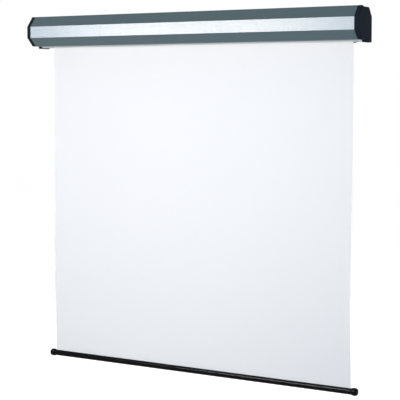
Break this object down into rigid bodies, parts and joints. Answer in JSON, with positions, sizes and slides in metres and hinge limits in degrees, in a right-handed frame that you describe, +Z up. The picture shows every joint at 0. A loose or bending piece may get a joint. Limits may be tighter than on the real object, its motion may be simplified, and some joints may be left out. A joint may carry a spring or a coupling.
{
  "type": "pull down projector screen",
  "caption": "Wall-mounted pull down projector screen: an angular case with end caps holds a sprung roller that winds a white cloth, drawn down by a weighted bar.",
  "frame": {"origin": "on the wall plane, at mid length of the case and at mid height of its silver front band", "axes": "+X along the case to the viewer's right, +Y into the wall, +Z up"},
  "size_m": [1.365, 0.124, 1.3445],
  "materials": {
    "case_paint": "slate grey powder coat, semi-gloss, on an aluminium extrusion",
    "brushed_silver": "anodised, finely brushed along its length",
    "bare_aluminium": "mill finish, satin",
    "cap_plastic": "blue-black, fine moulded grain",
    "rail_paint": "black satin paint",
    "screen_fabric": "matt white coated weave",
    "bar_paint": "gloss black paint",
    "knob_plastic": "gloss black",
    "zinc_steel": "bright zinc plate",
    "white_nylon": "natural nylon, satin"
  },
  "bodies": {
    "case": {"case_shell": "case_paint", "front_band": "brushed_silver", "slot_lip": "bare_aluminium", "wall_rail": "rail_paint", "left_end_cap": "cap_plastic", "right_end_cap": "cap_plastic", "left_bracket": "zinc_steel", "right_bracket": "zinc_steel", "lock_screw_1": "zinc_steel", "lock_screw_2": "zinc_steel", "lock_screw_3": "zinc_steel", "left_bracket_screw_1": "zinc_steel", "left_bracket_screw_2": "zinc_steel", "right_bracket_screw_1": "zinc_steel", "right_bracket_screw_2": "zinc_steel", "left_cap_screw_1": "zinc_steel", "left_cap_screw_2": "zinc_steel", "right_cap_screw_1": "zinc_steel", "right_cap_screw_2": "zinc_steel", "idle_bush": "white_nylon", "spring_spear": "zinc_steel", "spear_retainer_pin": "zinc_steel", "ratchet_wheel": "zinc_steel", "ratchet_pin": "zinc_steel", "torsion_spring": "zinc_steel", "spring_collar": "zinc_steel", "screen_cloth": "screen_fabric"},
    "roller": {"roller_tube": "bare_aluminium", "cloth_roll": "screen_fabric", "left_plug_rivet_1": "zinc_steel", "left_plug_rivet_2": "zinc_steel", "right_plug_rivet_1": "zinc_steel", "right_plug_rivet_2": "zinc_steel", "idle_plug": "white_nylon", "idle_pin": "zinc_steel", "pawl_plug": "white_nylon", "spear_bush": "white_nylon", "pawl_pin_a": "zinc_steel", "pawl_pin_b": "zinc_steel", "spring_anchor": "zinc_steel", "anchor_bush": "white_nylon"},
    "first_pawl": {"pawl_a": "zinc_steel"},
    "second_pawl": {"pawl_b": "zinc_steel"},
    "weight_bar": {"bar_tube": "bar_paint", "hem_rod": "white_nylon", "left_bar_knob": "knob_plastic", "right_bar_knob": "knob_plastic"}
  },
  "joints": [
    {"name": "bar_slide", "type": "slide", "parent": "case", "child": "weight_bar", "axis": [0, 0, 1], "range_m": [0, 1.1985], "deforming": ["screen_cloth"]},
    {"name": "roller_turn", "type": "hinge", "parent": "case", "child": "roller", "pos_m": [0, -0.05, 0], "axis": [1, 0, 0], "range_deg": [0, 2520]},
    {"name": "pawl_a_swing", "type": "hinge", "parent": "roller", "child": "first_pawl", "pos_m": [0.6439, -0.05, 0.018], "axis": [1, 0, 0], "range_deg": [-14, 0]},
    {"name": "pawl_b_swing", "type": "hinge", "parent": "roller", "child": "second_pawl", "pos_m": [0.6439, -0.05, -0.018], "axis": [1, 0, 0], "range_deg": [-14, 0]}
  ],
  "couplings": [
    {"joint": "roller_turn", "follows": "bar_slide", "rad_per_m": 36.697}
  ]
}
